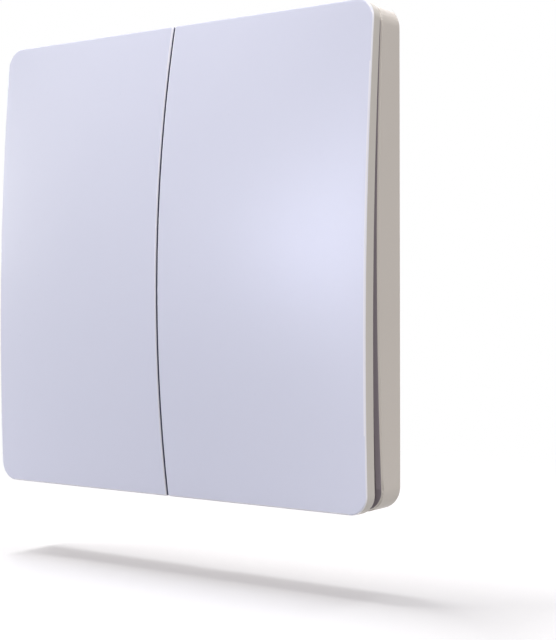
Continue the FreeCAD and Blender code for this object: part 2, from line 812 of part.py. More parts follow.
def make_rocker(side):
    """One rocker: a doubly curved shell, thin walled and ribbed, with two hinge lugs near its top edge, two
    hooks near its bottom edge and a post that pushes the plunger. Its own origin is on the hinge line."""
    made = new_body("rocker_right" if side > 0 else "rocker_left", HINGE)
    split, outer = d.split_gap / 2, half_width
    hollow_split, hollow_outer = split + d.rocker_wall, outer - d.rocker_wall
    hollow_up = half_height - d.rocker_wall
    over = half_height + OVERRUN

    def span(near, far):
        """An interval of x on this rocker's side, from left to right."""
        return (near, far) if side > 0 else (-far, -near)

    corners = (d.corner_radius, d.split_corner) if side > 0 else (d.split_corner, d.corner_radius)
    left, right = span(split, outer)
    outline = rounded_rectangle(left, right, -half_height, half_height, *corners)
    pad_front(made, rocker_seat, blank_depth, outline)
    behind = rocker_seat - OVERRUN
    seat = crowned_outline(rocker_seat, rocker_seat, d.seat_crown, over, behind)
    middle = (split + outer) / 2 * side
    cut_side(made, middle, d.face_width, seat)
    xs = [hollow_split * side, (hollow_split + hollow_outer) / 2 * side, hollow_outer * side]
    hollow = [face_section(made, x, d.rocker_wall, hollow_up, behind) for x in xs]
    cut_loft(made, hollow, straight=True)

    # The wall beside the split stands clear of the island.
    low, high = span(split - d.split_gap / 4, hollow_split + d.split_gap / 4)
    clear = island_half_height + d.island_clearance
    opening = rectangle(low, high, -clear, clear)
    cut_front(made, behind, island_front + d.island_clearance, opening)

    # The hollow's outer corners are filled to follow the rounded corners of the face.
    bend = d.corner_radius - d.rocker_wall
    x_in, x_out = (hollow_outer - bend) * side, (hollow_outer + d.rocker_wall / 4) * side
    x_side = hollow_outer * side
    fills = []
    for up in (-1, 1):
        z_in, z_side = (hollow_up - bend) * up, hollow_up * up
        z_out = (hollow_up + d.rocker_wall / 4) * up
        radius = bend * (side * up)
        fills.append([(x_in, z_side), (x_in, z_out), (x_out, z_out), (x_out, z_in), (x_side, z_in)])
        fills[-1][0] = (x_in, z_side, radius)
    pad_front(made, rocker_seat + d.seat_crown / 2, blank_depth, *fills)

    # Ribs along the rocker, as deep all the way as the skin allows above the island.
    for x in (d.rocker_rib_inner, d.rocker_rib_outer):
        depth = d.rocker_wall + d.rocker_rib_depth
        bottom, top = face_bottom - depth, face_top - depth
        low, _, radius = crown_arc(bottom, top, face_crown(x), hollow_up)
        ribs_top = at_height(bottom, top, face_crown(x), d.rocker_rib_top)
        rib = [
            (low, -hollow_up),
            (ribs_top, d.rocker_rib_top, radius),
            (blank_depth, d.rocker_rib_top),
            (blank_depth, -hollow_up),
        ]
        pad_side(made, x * side, d.rocker_rib_thickness, rib)

    # The cross rib that lands on the dampers when the rocker is pressed.
    lever = hinge_height - damper_height
    stop = damper_top + d.touch_gap - lever * (d.rest_tilt - d.press_tilt).sine()
    half = d.rocker_rib_thickness / 2
    low, high = span(split + d.rocker_wall / 2, outer - d.rocker_wall / 2)
    bar = rectangle(low, high, damper_height - half, damper_height + half)
    pad_front(made, stop, blank_depth, bar)

    # The post that pushes the plunger, in the shape of a cross.
    post_end = plunger_top + d.touch_gap - (hinge_height - tact_height) * face_lean
    post = cross_outline(d.tact_offset * side, tact_height, d.post_arm, d.post_web / 2)
    pad_front(made, post_end, blank_depth, post)

    # Hinge lugs with their pins.
    radius = d.lug_radius
    lug = [
        (hinge_depth, hinge_height - radius, radius),
        (blank_depth, hinge_height - radius),
        (blank_depth, hinge_height + radius),
        (hinge_depth, hinge_height + radius),
        (hinge_depth - radius, hinge_height, radius),
    ]
    for x in (lug_inner, lug_outer):
        pad_side(made, x * side, d.lug_thickness, lug)
    pin_length = d.lug_gap + d.ear_thickness + d.hinge_pin_spare + d.lug_thickness / 2
    for x, way in ((lug_inner, -1), (lug_outer, 1)):
        sketch, at = side_sketch(made, (x + pin_length / 2 * way) * side)
        draw_circle(sketch, at(hinge_depth, hinge_height), d.hinge_pin_radius)
        pad(made, sketch, pin_length, symmetric=True)

    # Hooks that catch behind the deck and hold the rocker at its rest tilt.
    ceiling = cavity_ceiling(hook_foot - d.hook_barb_depth / 2)
    catch = ceiling - d.hook_clearance - (hinge_height - hook_foot) * face_lean
    tip = hook_foot - d.hook_barb_depth
    hook = [
        (catch - d.hook_barb, hook_foot + d.hook_leg),
        (catch - d.hook_barb, hook_foot - d.hook_barb_depth / 4),
        (catch - d.hook_barb / 3, tip),
        (catch, tip),
        (catch, hook_foot),
        (blank_depth, hook_foot),
        (blank_depth, hook_foot + d.hook_leg),
    ]
    for x in (d.hook_inner, d.hook_outer):
        pad_side(made, x * side, d.hook_width, hook)

    # The face itself: all that stands in front of it is cut away.
    front = blank_depth + OVERRUN
    xs = [(split - OVERRUN) * side, middle, (outer + OVERRUN) * side]
    cut_loft(made, [face_section(made, x, Size(0), over, front) for x in xs])
    keep(made)


def make_key_dampers():
    """Silicone blocks, pressed into the deck, that quieten the rockers at the end of their travel."""
    made = new_body("key_dampers")
    blocks = [square(x, damper_height, d.damper_side) for x in mirrored(d.damper_inner, d.damper_outer)]
    pad_front(made, damper_floor, damper_top, *blocks)
    keep(made)


def make_circuit_board():
    """Glass-fibre board that is screwed to bosses behind the island."""
    made = new_body("circuit_board")
    across, up = board_half_width, board_half_height
    outline = rounded_rectangle(-across, across, -up, up, d.board_corner)
    pad_front(made, board_rear, board_front, outline)
    cut_discs(made, board_rear, board_front, board_screws, d.screw_radius + d.screw_clearance)
    keep(made)


def make_board_screws():
    """Four screws, driven from behind through the board."""
    made = new_body("board_screws")
    pad_discs(made, board_rear - d.screw_head_height, board_rear, board_screws, d.screw_head_radius)
    pad_discs(made, board_rear, board_front + d.screw_grip, board_screws, d.screw_radius)
    keep(made)


def make_coin_cell():
    """Lithium coin cell: a can, its wider face towards the wall, and a narrower negative cap."""
    made = new_body("coin_cell")
    middle = [(Size(0), d.cell_height)]
    shoulder = cell_front - d.cell_cap_height
    pad_discs(made, cell_rear, shoulder, middle, d.cell_radius)
    pad_discs(made, shoulder, cell_front, middle, d.cell_radius - d.cell_lip)
    keep(made)


def make_battery_holder():
    """Moulded ring on the board that the coin cell sits in, notched for the positive contact."""
    made = new_body("battery_holder")
    middle = [(Size(0), d.cell_height)]
    inner = d.cell_radius + d.holder_clearance
    pad_discs(made, board_rear - d.holder_depth, board_rear, middle, inner + d.holder_wall)
    cut_discs(made, board_rear - d.holder_depth, cell_front, middle, inner)
    cut_front(made, cell_front, board_rear, square(Size(0), d.cell_height, d.holder_opening))
    low = d.cell_height + d.cell_radius - d.cell_lip
    high = d.cell_height + inner + d.holder_wall + OVERRUN
    notch = rectangle(-d.holder_notch / 2, d.holder_notch / 2, low, high)
    cut_front(made, board_rear - d.holder_depth, board_rear, notch)
    keep(made)


def make_battery_contacts():
    """Two bent strips of sheet metal that are soldered to the board: one bears on the cell's cap, the other
    stands against the side of its can."""
    sheet = d.contact_sheet
    made = new_body("battery_contact_negative")
    foot, half = d.cell_height + d.contact_foot, d.contact_foot / 2
    middle = d.cell_height
    strip = [
        (board_rear - sheet, foot + half),
        (board_rear - sheet, middle + half),
        (cell_front, middle + sheet),
        (cell_front, middle - sheet),
        (cell_front + sheet, middle - sheet),
        (cell_front + sheet, middle),
        (board_rear, middle + half),
        (board_rear, foot + half),
    ]
    pad_side(made, Size(0), d.contact_width, strip)
    keep(made)
    made = new_body("battery_contact_positive")
    wall = d.cell_height + d.cell_radius
    strip = [
        (board_rear - d.holder_depth, wall),
        (board_rear - d.holder_depth, wall + sheet),
        (board_rear - sheet, wall + sheet),
        (board_rear - sheet, wall + d.contact_foot),
        (board_rear, wall + d.contact_foot),
        (board_rear, wall),
    ]
    pad_side(made, Size(0), d.contact_width, strip)
    keep(made)


radio_rear = board_rear - d.radio_thickness

# Where the radio module's notches lie along its sides, in pitches from its chip's middle.
RADIO_NOTCH_PLACES = (-2.5, -1.5, -0.5, 0.5, 1.5, 2.5)

# Where the chip capacitors lie along their row, in pitches from its middle.
CAPACITOR_PLACES = (-1.5, -0.5, 0.5, 1.5)


def make_radio():
    """Radio module: a small board soldered flat to the main one by the notches along its sides, and a folded
    steel shield over its chip."""
    made = new_body("radio_board")
    across, up = d.radio_width / 2, d.radio_height / 2
    outline = rectangle(-across, across, d.radio_middle - up, d.radio_middle + up)
    pad_front(made, radio_rear, board_rear, outline)
    middle = d.radio_middle - d.shield_drop
    notches = []
    for place in RADIO_NOTCH_PLACES:
        row, half = middle + d.radio_notch_pitch * place, d.radio_notch_width / 2
        inner, outer = across - d.radio_notch_depth, across + d.radio_notch_depth
        notches.append(rectangle(-outer, -inner, row - half, row + half))
        notches.append(rectangle(inner, outer, row - half, row + half))
    cut_front(made, radio_rear, board_rear, *notches)
    keep(made)
    made = new_body("radio_shield")
    across, up, sheet = d.shield_width / 2, d.shield_height / 2, d.shield_sheet
    top = radio_rear - d.shield_depth
    pad_front(made, top, radio_rear, rectangle(-across, across, middle - up, middle + up))
    across, up = across - sheet, up - sheet
    cut_front(made, top + sheet, radio_rear, rectangle(-across, across, middle - up, middle + up))
    keep(made)
    made = new_body("radio_chip")
    chip = square(Size(0), middle, d.radio_chip_side)
    pad_front(made, radio_rear - d.radio_chip_thickness, radio_rear, chip)
    keep(made)


def make_small_components():
    """Chip capacitors on the front of the board, between the two switches, as separate blocks."""
    made = new_body("small_components")
    chips = []
    half_wide, half_long = d.capacitor_width / 2, d.capacitor_length / 2
    for place in CAPACITOR_PLACES:
        x, height = d.capacitor_pitch * place, tact_height
        chips.append(rectangle(x - half_wide, x + half_wide, height - half_long, height + half_long))
    pad_front(made, board_front, board_front + d.capacitor_thickness, *chips)
    keep(made)


def make_status_led():
    """Surface-mounted light that shows through a hole in the island and the split between the rockers."""
    made = new_body("status_led")
    half_wide, half_high = d.led_width / 2, d.led_height / 2
    lens_rear = board_front + d.led_base
    base = rectangle(-half_wide, half_wide, d.led_middle - half_high, d.led_middle + half_high)
    pad_front(made, board_front, lens_rear, base)
    half_wide -= d.led_lens_inset
    lens = rectangle(-half_wide, half_wide, d.led_middle - half_high, d.led_middle + half_high)
    pad_front(made, lens_rear, lens_rear + d.led_lens, lens)
    keep(made)


def make_tact_switch(side):
    """One tactile switch: a moulded base with a well, a snap dome in the well, a flanged plunger over it,
    and a folded steel cover that holds the plunger in."""
    name = "tact_right" if side > 0 else "tact_left"
    x, height = d.tact_offset * side, tact_height
    middle = [(x, height)]
    half = d.tact_side / 2
    base_top = board_front + d.tact_base_height
    base_outline = square(x, height, d.tact_side)

    made = new_body(f"{name}_base")
    pad_front(made, board_front, base_top, base_outline)
    cut_discs(made, board_front + d.tact_floor, base_top, middle, d.tact_well_radius)
    keep(made)

    made = new_body(f"{name}_cover")
    fold = half + d.tact_cover_sheet
    outline = rectangle(x - fold, x + fold, height - half, height + half)
    pad_front(made, base_top - d.tact_cover_skirt, tact_top, outline)
    cut_front(made, base_top - d.tact_cover_skirt, base_top, base_outline)
    cut_discs(made, base_top, tact_top, middle, d.plunger_radius + d.plunger_clearance)
    keep(made)

    made = new_body(f"{name}_plunger")
    flange_rear = base_top - d.plunger_flange_height
    pad_discs(made, flange_rear, base_top, middle, d.plunger_flange)
    pad_discs(made, base_top, plunger_top, middle, d.plunger_radius)
    keep(made)

    make_dome(f"{name}_dome", x, height, board_front + d.tact_floor, flange_rear)


def make_dome(name, x, height, foot, top):
    """Snap dome of thin spring steel: a rim that stands on the well's floor, a cone and a flat crown."""
    radius, sheet = d.dome_radius, d.dome_sheet
    rim, crown = radius - d.dome_rim, d.dome_crown_radius
    made = new_body(name)
    sketch, at = side_sketch(made, x)
    section = [
        (foot, height + radius),
        (foot + sheet, height + radius),
        (top, height + crown),
        (top, height),
        (top - sheet, height),
        (top - sheet, height + crown),
        (foot, height + rim),
    ]
    draw_outline(sketch, [at(*corner) for corner in section])
    start, end = Vector(0, height.value, 0), Vector(-1, height.value, 0)
    axis = sketch.addGeometry(Part.LineSegment(start, end), True)
    for place, along in ((1, 0), (2, -1)):
        constrain(sketch, "DistanceX", (-1, 1, axis, place), along)
        constrain(sketch, "DistanceY", (-1, 1, axis, place), height)
    dome = made.body.newObject("PartDesign::Revolution", new_name(made, "revolution"))
    dome.Profile = sketch
    dome.ReferenceAxis = (sketch, ["Axis0"])
    dome.Angle = 360
    made.body.Tip = dome
    keep(made)


def make_tact_terminals():
    """The tinned leads of both switches, bent out flat onto the board."""
    made = new_body("tact_terminals")
    leads = []
    half = d.tact_side / 2
    for middle, height in tact_places:
        for across in (-1, 1):
            x = middle + d.tact_lead_offset * across
            wide = d.tact_lead_width / 2
            for up in (-1, 1):
                near, far = height + half * up, height + (half + d.tact_lead_reach) * up
                low, high = (near, far) if up > 0 else (far, near)
                leads.append(rectangle(x - wide, x + wide, low, high))
    pad_front(made, board_front, board_front + d.tact_lead_sheet, *leads)
    keep(made)


make_adhesive_pad()
make_wall_plate()
make_housing()
make_key_dampers()
make_circuit_board()
make_board_screws()
make_coin_cell()
make_battery_holder()
make_battery_contacts()
make_radio()
make_small_components()
make_status_led()
make_tact_terminals()
for side in (-1, 1):
    make_tact_switch(side)
    make_rocker(side)
doc.recompute()

failed = [obj.Name for obj in doc.Objects if "Invalid" in obj.State or "Error" in obj.State]
if failed:
    raise RuntimeError(f"these objects didn't compute: {failed}")
for label, thing in parts.items():
    if thing.Shape.isNull() or not thing.Shape.isValid():
        raise RuntimeError(f"{label} has no valid shape")
os.makedirs("parts", exist_ok=True)
for label, thing in parts.items():
    thing.Shape.exportStep(f"parts/{label}.step")
    print(f"{label}: {len(thing.Shape.Solids)} solids, {thing.Shape.Volume:.1f} mm3")
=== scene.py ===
"""The looks of a two-gang wireless wall switch, in metres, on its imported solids.

The switch faces -Y with the wall at y = 0, and +Z is up. The sections follow the switch as it is put
together, from the two keys in front to the foam pad on the wall.
"""

import json
import math

import bmesh
import bpy
from mathutils import Matrix, Vector

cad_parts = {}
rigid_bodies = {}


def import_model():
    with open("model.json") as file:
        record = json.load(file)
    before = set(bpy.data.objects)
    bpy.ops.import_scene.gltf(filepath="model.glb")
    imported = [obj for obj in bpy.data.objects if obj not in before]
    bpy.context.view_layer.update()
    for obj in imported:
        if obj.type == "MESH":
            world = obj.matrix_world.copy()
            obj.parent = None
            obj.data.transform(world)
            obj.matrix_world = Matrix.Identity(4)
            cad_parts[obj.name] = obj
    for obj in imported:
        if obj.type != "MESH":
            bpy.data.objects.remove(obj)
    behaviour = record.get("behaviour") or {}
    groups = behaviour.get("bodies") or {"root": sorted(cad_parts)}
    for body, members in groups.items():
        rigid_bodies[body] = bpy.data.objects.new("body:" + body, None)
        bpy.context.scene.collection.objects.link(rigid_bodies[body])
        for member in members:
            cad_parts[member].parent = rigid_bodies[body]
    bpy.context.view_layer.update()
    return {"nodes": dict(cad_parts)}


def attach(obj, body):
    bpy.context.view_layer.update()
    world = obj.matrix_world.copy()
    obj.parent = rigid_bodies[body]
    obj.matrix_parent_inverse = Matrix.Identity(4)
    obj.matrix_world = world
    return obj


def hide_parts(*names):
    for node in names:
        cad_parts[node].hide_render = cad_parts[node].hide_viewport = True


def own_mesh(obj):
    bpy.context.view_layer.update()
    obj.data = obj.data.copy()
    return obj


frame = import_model()

# Camera
# The switch is seen from its right and almost level, from about 26 cm away, so its right side shows as a
# narrow band.
azimuth, elevation, roll = (math.radians(angle) for angle in (35.68, 1.02, -0.18))
bpy.ops.object.camera_add(location=(0.1636, -0.2040, -0.0063))
camera = bpy.context.object
turn = Matrix.Rotation(azimuth, 4, "Z") @ Matrix.Rotation(math.pi / 2 - elevation, 4, "X")
camera.rotation_euler = (turn @ Matrix.Rotation(roll, 4, "Z")).to_euler()
camera.data.lens = 77.8
camera.data.sensor_width = 36
camera.data.clip_start = 0.01
bpy.context.scene.camera = camera

# Rocker keys
# Two thin-walled mouldings of white polycarbonate, side by side, that make one pillow-shaped face. Each is
# open at the back and leans forward at the bottom on two pins near its top edge.
MM = 0.001
HALF = 43 * MM
# The face stands out furthest in the middle of the switch, and the key's rear edge is arched as well. Each
# depth is counted from the wall.
FACE_EDGE, FACE_SLOPE = 9.0 * MM, 0.4 * MM
FACE_CROWN, CROWN_FALL = 4.05 * MM, 2.4 * MM
SEAT_EDGE, SEAT_ARCH, SEAT_SLOPE = 6.5 * MM, 1.45 * MM, 0.17 * MM
SPLIT_HALF = 0.205 * MM
KEY_WALL = 1.4 * MM
KEY_EDGE = 0.3 * MM
KEY_CORNER, SPLIT_CORNER = 3.5 * MM, 0.35 * MM
BLANK_DEPTH = 5 * MM
ISLAND_REACH, ISLAND_STEP = 25.65 * MM, 0.05 * MM
SPLIT_WALL_REAR = 9.5 * MM
HINGE = Vector((0, -6.8 * MM, 38 * MM))
REST_TILT = math.radians(1.2)


def key_depth(x, z):
    """How far in front of the wall the key's face stands, before the key leans."""
    t = z / HALF
    return FACE_EDGE - FACE_SLOPE * t + (FACE_CROWN - CROWN_FALL * (x / HALF) ** 2) * (1 - t * t)


def seat_depth(z):
    """How far in front of the wall the key's rear edge stands, before the key leans."""
    t = z / HALF
    return SEAT_EDGE + SEAT_ARCH * (1 - t * t) + SEAT_SLOPE * (1 - t)


def choose(kind, test):
    """Selects the vertices, edges or faces of the mesh in edit mode that pass a test."""
    bpy.ops.mesh.select_mode(type=kind)
    bpy.ops.mesh.select_all(action="DESELECT")
    mesh = bpy.context.edit_object.data
    shape = bmesh.from_edit_mesh(mesh)
    for part in {"VERT": shape.verts, "EDGE": shape.edges, "FACE": shape.faces}[kind]:
        part.select_set(test(part))
    shape.select_flush_mode()
    bmesh.update_edit_mesh(mesh)


def shift(x=0.0, y=0.0, z=0.0):
    bpy.ops.transform.translate(value=(x, y, z))


def near(place, other):
    """Whether two places are the same but for rounding."""
    return abs(place - other) < 1e-6


def cuts(low, high, count):
    """Places that divide a length into equal strips."""
    return [low + (high - low) * i / count for i in range(1, count)]


def box(name, low, high):
    """Adds a cube from its lowest to its highest corner, and goes into edit mode."""
    bpy.ops.object.select_all(action="DESELECT")
    bpy.ops.mesh.primitive_cube_add(size=1, location=(Vector(low) + Vector(high)) / 2)
    piece = bpy.context.object
    piece.name = piece.data.name = name
    piece.scale = Vector(high) - Vector(low)
    bpy.ops.object.transform_apply(location=True, rotation=True, scale=True)
    bpy.ops.object.mode_set(mode="EDIT")
    return piece


def slice_up(axis, places):
    """Cuts the whole mesh across at each place along an axis, as a loop cut would."""
    for place in places:
        middle = [0, 0, 0]
        normal = [0, 0, 0]
        middle[axis], normal[axis] = place, 1
        bpy.ops.mesh.select_all(action="SELECT")
        bpy.ops.mesh.bisect(plane_co=middle, plane_no=normal)


def levels(axis, wanted):
    """The different places along an axis of the vertices that pass a test."""
    shape = bmesh.from_edit_mesh(bpy.context.edit_object.data)
    return sorted({round(v.co[axis], 8) for v in shape.verts if wanted(v)})


def apply_modifier(piece, kind, **settings):
    modifier = piece.modifiers.new(kind.title(), kind)
    for name, value in settings.items():
        setattr(modifier, name, value)
    bpy.context.view_layer.objects.active = piece
    bpy.ops.object.modifier_apply(modifier=modifier.name)


def runs_back(e):
    return abs(e.verts[0].co.y - e.verts[1].co.y) > MM


def is_front(v):
    return v.co.y < BLANK_DEPTH / 2


def is_rear(v):
    return v.co.y > BLANK_DEPTH / 2


# The blank has its front at y = 0, and its corners are rounded in the face's plane.
key_right = box("key_right", (SPLIT_HALF, 0, -HALF), (HALF, BLANK_DEPTH, HALF))
choose("EDGE", lambda e: runs_back(e) and e.verts[0].co.x > HALF / 2)
bpy.ops.mesh.bevel(offset=KEY_CORNER, segments=12, affect="EDGES")
choose("EDGE", lambda e: runs_back(e) and e.verts[0].co.x < HALF / 2)
bpy.ops.mesh.bevel(offset=SPLIT_CORNER, segments=4, affect="EDGES")
choose("FACE", lambda f: f.normal.y > 0.5)
bpy.ops.mesh.delete(type="FACE")
slice_up(0, cuts(SPLIT_HALF, HALF, 12))
slice_up(2, cuts(-HALF, HALF, 32))
slice_up(2, (-ISLAND_REACH - ISLAND_STEP, -ISLAND_REACH + ISLAND_STEP))
slice_up(2, (ISLAND_REACH - ISLAND_STEP, ISLAND_REACH + ISLAND_STEP))
choose("EDGE", lambda e: len({abs(f.normal.y) > 0.5 for f in e.link_faces}) == 2)
bpy.ops.mesh.mark_sharp()

# The front is pushed out column by column to the crown it has half way up. Then each row is flattened
# towards the top and bottom edges and moved out to its own depth, and the rear edge follows its own arc. The
# wall beside the split is cut back to clear the housing's island.
for x in levels(0, is_front):
    choose("VERT", lambda v: is_front(v) and near(v.co.x, x))
    shift(y=key_depth(HALF, 0) - key_depth(x, 0))
for z in levels(2, is_front):
    choose("VERT", lambda v: is_front(v) and near(v.co.z, z))
    bpy.ops.transform.resize(value=(1, 1 - (z / HALF) ** 2, 1), center_override=(0, 0, 0))
    shift(y=-key_depth(HALF, z))
for z in levels(2, is_rear):
    clear = 0.5 * MM if abs(z) < ISLAND_REACH else 0
    choose("VERT", lambda v: is_rear(v) and near(v.co.z, z) and v.co.x > clear)
    shift(y=-BLANK_DEPTH - seat_depth(z))
    if clear:
        choose("VERT", lambda v: is_rear(v) and near(v.co.z, z))
        shift(y=-BLANK_DEPTH - SPLIT_WALL_REAR)
choose("EDGE", lambda e: not e.smooth)
bpy.ops.mesh.mark_sharp(clear=True)
bpy.ops.mesh.bevel(offset=KEY_EDGE, segments=3, affect="EDGES")
bpy.ops.object.mode_set(mode="OBJECT")

# The left key is the right one's mirror image, turned right side out again.
bpy.ops.object.select_all(action="DESELECT")
key_right.select_set(True)
bpy.context.view_layer.objects.active = key_right
bpy.ops.object.duplicate()
key_left = bpy.context.object
key_left.name = key_left.data.name = "key_left"
bpy.ops.object.mode_set(mode="EDIT")
bpy.ops.mesh.select_all(action="SELECT")
bpy.ops.transform.resize(value=(-1, 1, 1), center_override=(0, 0, 0))
bpy.ops.mesh.normals_make_consistent(inside=False)
bpy.ops.object.mode_set(mode="OBJECT")


def rod(name, start, end, radius, sides=24):
    """Adds a round bar from one point to another, and goes into edit mode."""
    bpy.ops.object.select_all(action="DESELECT")
    way = Vector(end) - Vector(start)
    turned = way.to_track_quat("Z", "Y").to_euler()
    middle = (Vector(start) + Vector(end)) / 2
    bpy.ops.mesh.primitive_cylinder_add(
        vertices=sides, radius=radius, depth=way.length, location=middle, rotation=turned
    )
    piece = bpy.context.object
    piece.name = piece.data.name = name
    bpy.ops.object.transform_apply(location=True, rotation=True, scale=True)
    bpy.ops.object.mode_set(mode="EDIT")
    return piece


def soften(width, segments=2):
    """Breaks every sharp edge of the mesh in edit mode."""
    choose("EDGE", lambda e: len(e.link_faces) == 2 and e.calc_face_angle() > math.radians(40))
    bpy.ops.mesh.bevel(offset=width, segments=segments, affect="EDGES")


def finish_shape():
    bpy.ops.object.mode_set(mode="OBJECT")
    return bpy.context.object


def join(pieces, onto):
    """Joins pieces onto another, which keeps its name."""
    bpy.ops.object.select_all(action="DESELECT")
    for piece in [*pieces, onto]:
        piece.select_set(True)
    bpy.context.view_layer.objects.active = onto
    bpy.ops.object.join()


def smooth(degrees):
    bpy.ops.object.shade_smooth_by_angle(angle=math.radians(degrees))


# The parts inside a key start in the thickness of its wall, behind its face.
SUNK = 0.6 * MM
RIB_START, RIB_END, RIB_HALF = 1.3 * MM, 2.1 * MM, 0.45 * MM
RIB_FOOT, RIB_TOP = -41.6 * MM, 33 * MM
DAMPER_Z = -30 * MM
BAR_REAR = 7.34 * MM
POST_X, POST_Z, POST_REACH = 18 * MM, 9 * MM, 1.5 * MM
LUG_HALF, LUG_REAR, PIN_LENGTH = 0.8 * MM, 5.3 * MM, 3 * MM
HOOK_HALF, HOOK_REAR, BARB_HEIGHT = 2.5 * MM, 2.63 * MM, 0.9 * MM
for key in (key_right, key_left):
    side = 1 if key is key_right else -1
    apply_modifier(key, "SOLIDIFY", thickness=KEY_WALL, offset=-1, use_even_offset=True)
    # Two ribs and a cross rib, which lands on the dampers.
    inner = []
    for x in (14 * MM * side, 28 * MM * side):
        box("rib", (x - RIB_HALF, 0, RIB_FOOT), (x + RIB_HALF, MM, RIB_TOP))
        slice_up(2, cuts(RIB_FOOT, RIB_TOP, 24))
        for z in levels(2, lambda v: True):
            for rear in (False, True):
                choose("VERT", lambda v: near(v.co.z, z) and (v.co.y > 0.5 * MM) == rear)
                shift(y=-key_depth(x, z) + (RIB_END - MM if rear else RIB_START))
        inner.append(finish_shape())
    low, high = sorted((1.0 * MM * side, 42.3 * MM * side))
    front = -key_depth(HALF, DAMPER_Z) + 0.5 * MM
    box("bar", (low, front, DAMPER_Z - RIB_HALF), (high, -BAR_REAR, DAMPER_Z + RIB_HALF))
    soften(0.12 * MM)
    inner.append(finish_shape())
    # The cross-shaped post that pushes the switch. Its arms end 0.02 mm apart, so their ends don't coincide.
    x, z = POST_X * side, POST_Z
    for wide, high, rear in ((POST_REACH, RIB_HALF, 8.85 * MM), (RIB_HALF, POST_REACH, 8.87 * MM)):
        box("post", (x - wide, -key_depth(x, z) + SUNK, z - high), (x + wide, -rear, z + high))
        soften(0.1 * MM)
        inner.append(finish_shape())
    # Two lugs near the top, and the pins on their outer sides.
    for x, way in ((9 * MM, -1), (34 * MM, 1)):
        low, high = sorted(((x - LUG_HALF) * side, (x + LUG_HALF) * side))
        front = -key_depth(x, HINGE.z) + SUNK
        box("lug", (low, front, HINGE.z - 1.5 * MM), (high, -LUG_REAR, HINGE.z + 1.5 * MM))
        inner.append(finish_shape())
        start = HINGE + Vector((x * side, 0, 0))
        rod("pin", start, start + Vector((PIN_LENGTH * way * side, 0, 0)), 0.9 * MM)
        soften(0.15 * MM)
        inner.append(finish_shape())
    # Two hooks near the bottom edge, each with a barb that catches behind the deck.
    for x in (12 * MM * side, 32 * MM * side):
        low = (x - HOOK_HALF, -key_depth(x, -35.3 * MM) + SUNK, -35.9 * MM)
        box("hook", low, (x + HOOK_HALF, -HOOK_REAR, -34.7 * MM))
        slice_up(1, [-HOOK_REAR - BARB_HEIGHT])
        choose("FACE", lambda f: f.normal.z < -0.9 and f.calc_center_median().y > -HOOK_REAR - BARB_HEIGHT)
        bpy.ops.mesh.extrude_region_move(TRANSFORM_OT_translate={"value": (0, 0, -0.8 * MM)})
        choose("VERT", lambda v: v.co.z < -36.5 * MM and near(v.co.y, -HOOK_REAR))
        shift(y=-0.6 * MM)
        soften(0.08 * MM)
        inner.append(finish_shape())
    join(inner, key)
    bpy.ops.object.mode_set(mode="EDIT")
    bpy.ops.mesh.select_all(action="SELECT")
    bpy.ops.transform.rotate(value=REST_TILT, orient_axis="X", center_override=HINGE)
    bpy.ops.object.mode_set(mode="OBJECT")
    smooth(40)
    apply_modifier(key, "WEIGHTED_NORMAL", keep_sharp=True, weight=80)


def colour(code):
    """A colour's linear red, green, blue and alpha, from its sRGB hex code."""
    parts = [int(code[i : i + 2], 16) / 255 for i in (1, 3, 5)]
    return [p / 12.92 if p <= 0.04045 else ((p + 0.055) / 1.055) ** 2.4 for p in parts] + [1]


def add(tree, kind, inputs, **settings):
    """Adds a node with its settings, and gives each of its inputs a value or a link."""
    node = tree.nodes.new("ShaderNode" + kind)
    for name, value in settings.items():
        setattr(node, name, value)
    for name, value in inputs.items():
        if isinstance(value, bpy.types.NodeSocket):
            tree.links.new(value, node.inputs[name])
        else:
            node.inputs[name].default_value = value
    return node


def new_material(name):
    """An empty material, its node tree, and where its patterns are placed."""
    material = bpy.data.materials.new(name)
    material.use_nodes = True
    tree = material.node_tree
    tree.nodes.clear()
    return material, tree, add(tree, "TexCoord", {}).outputs["Object"]


def finish_plastic(name, light, dark, cloud, rough, grain, depth, ior):
    """A moulded plastic: two near shades in soft clouds, and the grain of its tool's skin.

    The real grain is too fine to show, so each one is drawn several times as coarse as it is.
    """
    material, tree, place = new_material(name)
    clouds = add(tree, "TexNoise", {"Vector": place, "Scale": 1 / cloud, "Detail": 3.0})
    shade = add(tree, "Mix", {0: clouds.outputs["Fac"], 6: colour(dark), 7: colour(light)}, data_type="RGBA")
    skin = add(tree, "TexNoise", {"Vector": place, "Scale": 1 / grain, "Detail": 2.0})
    span = {"Value": skin.outputs["Fac"], "To Min": rough - 0.05, "To Max": rough + 0.05}
    sheen = add(tree, "MapRange", span)
    bump = add(tree, "Bump", {"Height": skin.outputs["Fac"], "Strength": 1.0, "Distance": depth})
    surface = add(
        tree,
        "BsdfPrincipled",
        {
            "Base Color": shade.outputs[2],
            "Roughness": sheen.outputs["Result"],
            "IOR": ior,
            "Normal": bump.outputs["Normal"],
        },
    )
    add(tree, "OutputMaterial", {"Surface": surface.outputs[0]})
    return material


# Satin polycarbonate with a very faint lavender tint: its tool was blasted fine, so lamps show as wide soft
# patches and no grain is seen by eye. The grain is drawn at 0.4 mm, ten times the real one, to show at all.
satin = finish_plastic("satin_polycarbonate", "#DDDEED", "#D9DAEA", 30 * MM, 0.3, 0.4 * MM, 0.001 * MM, 1.58)
# The same resin at the key's sides and inside, with a duller finish; its darker, warmer colour there is
# painted shade.
bare = finish_plastic("shaded_side_polycarbonate", "#CCC6BF", "#C8C2BA", 20 * MM, 0.5, 0.3 * MM, 0.003 * MM, 1.58)
# A paler copy of the satin on the rounded edge at the face's sides and foot is a painted highlight, which
# draws a pale line there.
edge = finish_plastic("painted_edge_highlight", "#F1EFF5", "#EBE9F0", 30 * MM, 0.3, 0.4 * MM, 0.001 * MM, 1.58)
